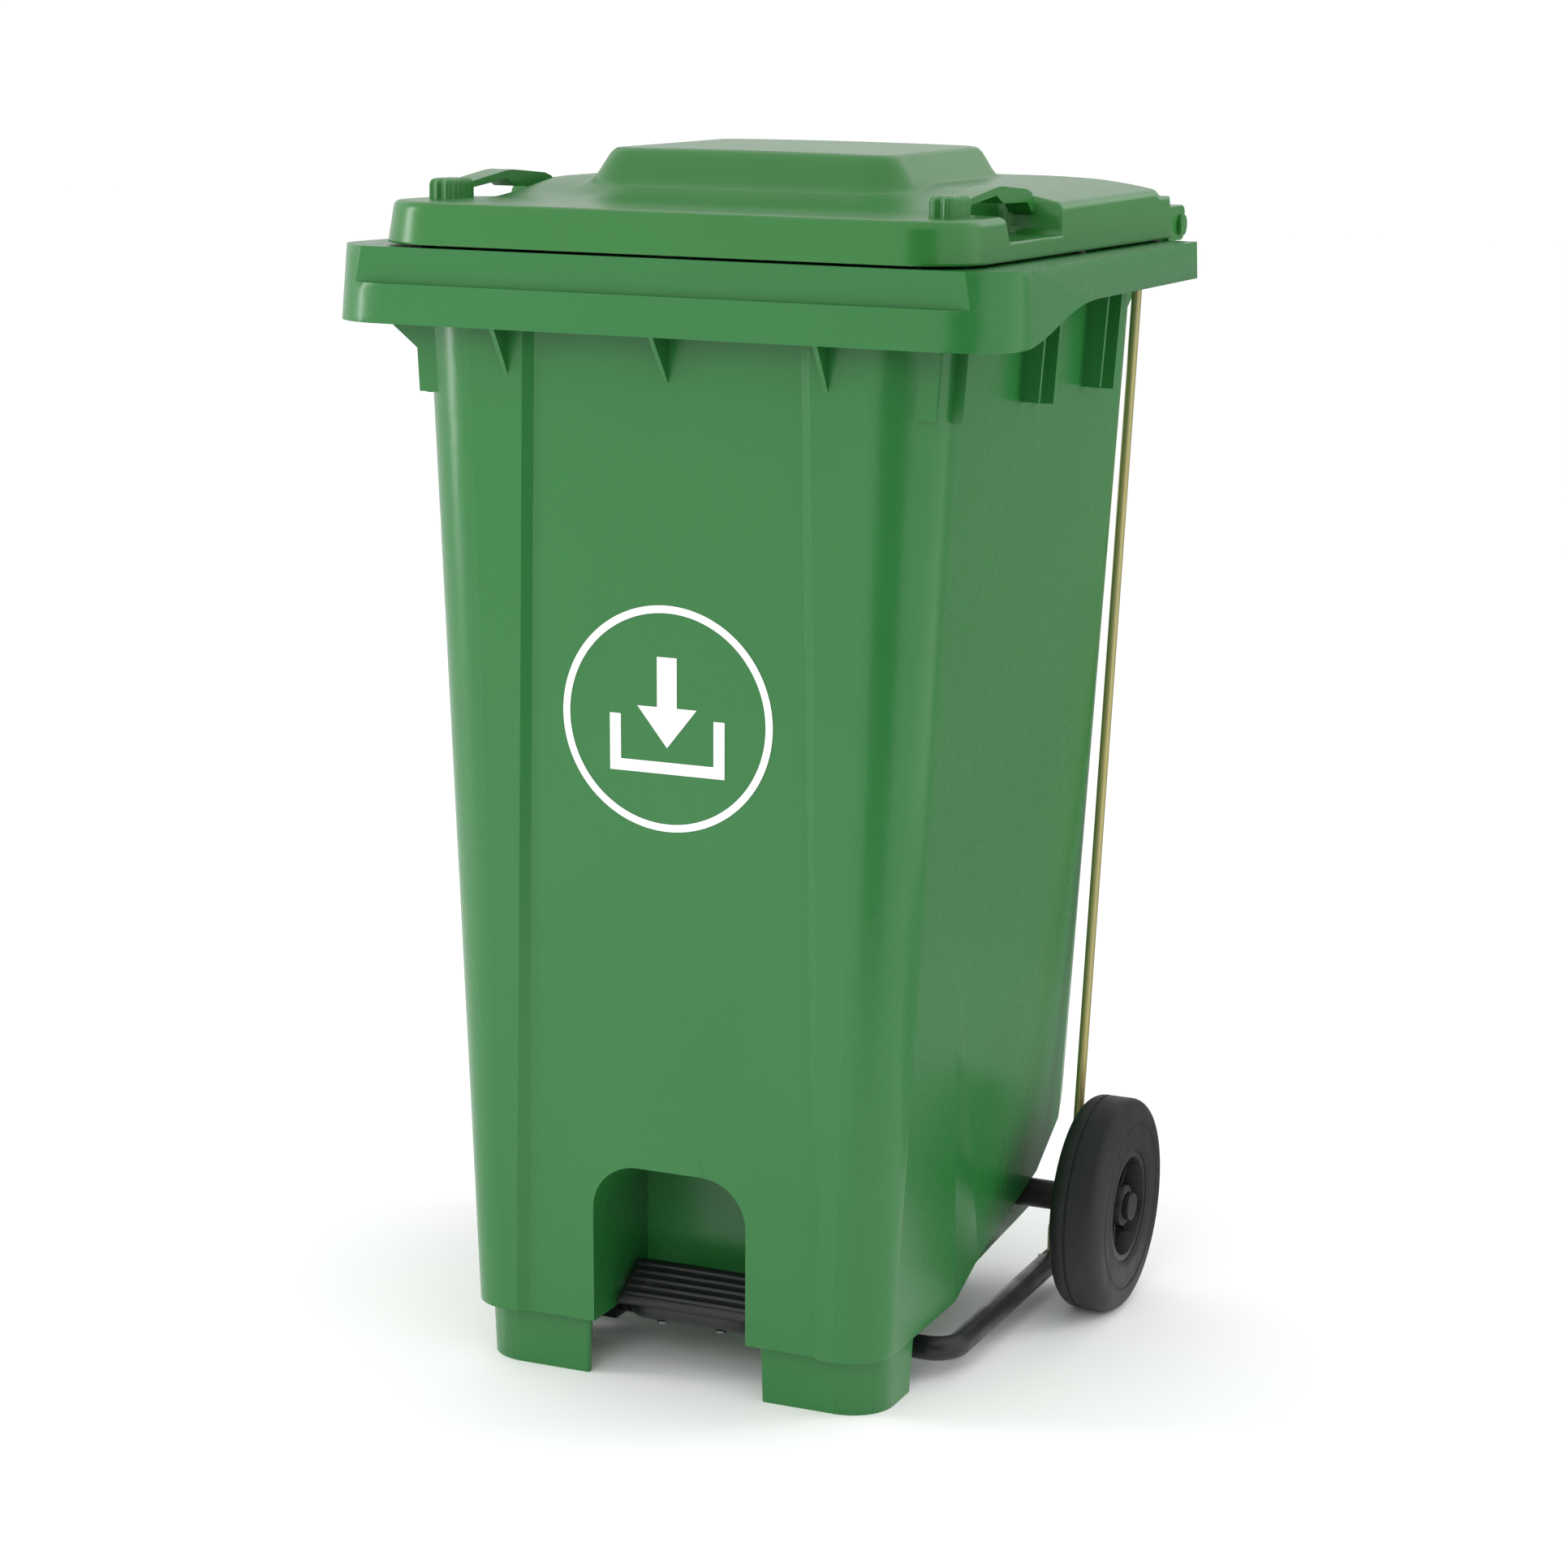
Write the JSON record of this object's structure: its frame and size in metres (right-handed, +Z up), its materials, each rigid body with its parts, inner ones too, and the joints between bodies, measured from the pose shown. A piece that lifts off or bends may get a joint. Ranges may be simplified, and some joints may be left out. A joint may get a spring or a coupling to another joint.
{
  "type": "pedal-lift wheelie bin",
  "caption": "Two-wheeled green plastic waste bin with a foot pedal that lifts the hinged, domed lid through side push rods.",
  "frame": {"origin": "centre of the bin's footprint, on the floor", "axes": "+Z up, -Y to the front where the pedal is, +X to the right hand seen from behind the bin"},
  "size_m": [0.5998, 0.658, 1.054],
  "materials": {
    "green_body": "satin moulded polyethylene",
    "green_lid": "satin moulded polyethylene",
    "tyre_rubber": "matt solid rubber",
    "black_plastic": "fine grain",
    "bush_plastic": "smooth",
    "treadle_plastic": "ribbed and grained",
    "black_steel": "powder coat",
    "yellow_zinc": "yellow passivated zinc",
    "zinc_steel": "zinc plate",
    "bright_steel": "drawn bar",
    "buffer_rubber": "matt",
    "white_print": "thin printed film"
  },
  "bodies": {
    "body": {"bin_body": "green_body", "emblem": "white_print", "lid_buffers": "buffer_rubber", "clamp_screws": "zinc_steel", "axle": "bright_steel", "axle_washers": "zinc_steel", "hinge_pin_left": "bright_steel", "hinge_pin_right": "bright_steel", "hinge_clip_left": "green_lid", "hinge_clip_right": "green_lid", "pivot_clamp_left": "black_steel", "pivot_clamp_right": "black_steel", "axle_sleeve_left": "black_plastic", "axle_sleeve_right": "black_plastic", "axle_cap_left": "black_plastic", "axle_cap_right": "black_plastic"},
    "lid": {"lid": "green_lid", "lever_screws": "zinc_steel", "lid_lever_left": "zinc_steel", "lid_lever_right": "zinc_steel"},
    "pedal": {"pedal_frame": "black_steel", "pedal_pad": "treadle_plastic", "pad_screws": "zinc_steel", "rod_foot_pin_left": "zinc_steel", "rod_foot_pin_right": "zinc_steel"},
    "push_rod_body_left": {"push_rod_left": "yellow_zinc", "rod_top_pin_left": "zinc_steel"},
    "wheel_left": {"tyre_left": "tyre_rubber", "wheel_hub_left": "black_plastic", "wheel_bush_left": "bush_plastic"},
    "push_rod_body_right": {"push_rod_right": "yellow_zinc", "rod_top_pin_right": "zinc_steel"},
    "wheel_right": {"tyre_right": "tyre_rubber", "wheel_hub_right": "black_plastic", "wheel_bush_right": "bush_plastic"}
  },
  "joints": [
    {"name": "lid_hinge", "type": "hinge", "parent": "body", "child": "lid", "pos_m": [0, 0.28, 0.982], "axis": [-1, 0, 0], "range_deg": [0, 54]},
    {"name": "pedal_pivot", "type": "hinge", "parent": "body", "child": "pedal", "pos_m": [0, -0.137, 0.027], "axis": [1, 0, 0], "range_deg": [0, 10]},
    {"name": "rod_link_left", "type": "hinge", "parent": "pedal", "child": "push_rod_body_left", "pos_m": [-0.212, 0.138, 0.027], "axis": [-1, 0, 0], "range_deg": [0, 10]},
    {"name": "rod_link_right", "type": "hinge", "parent": "pedal", "child": "push_rod_body_right", "pos_m": [0.212, 0.138, 0.027], "axis": [-1, 0, 0], "range_deg": [0, 10]},
    {"name": "wheel_spin_left", "type": "hinge", "parent": "body", "child": "wheel_left", "pos_m": [-0.27, 0.112, 0.1], "axis": [1, 0, 0], "continuous": true},
    {"name": "wheel_spin_right", "type": "hinge", "parent": "body", "child": "wheel_right", "pos_m": [0.27, 0.112, 0.1], "axis": [1, 0, 0], "continuous": true}
  ],
  "couplings": [
    {"joint": "pedal_pivot", "follows": "lid_hinge", "ratio": 0.18518},
    {"joint": "rod_link_left", "follows": "lid_hinge", "ratio": 0.18518},
    {"joint": "rod_link_right", "follows": "lid_hinge", "ratio": 0.18518}
  ]
}
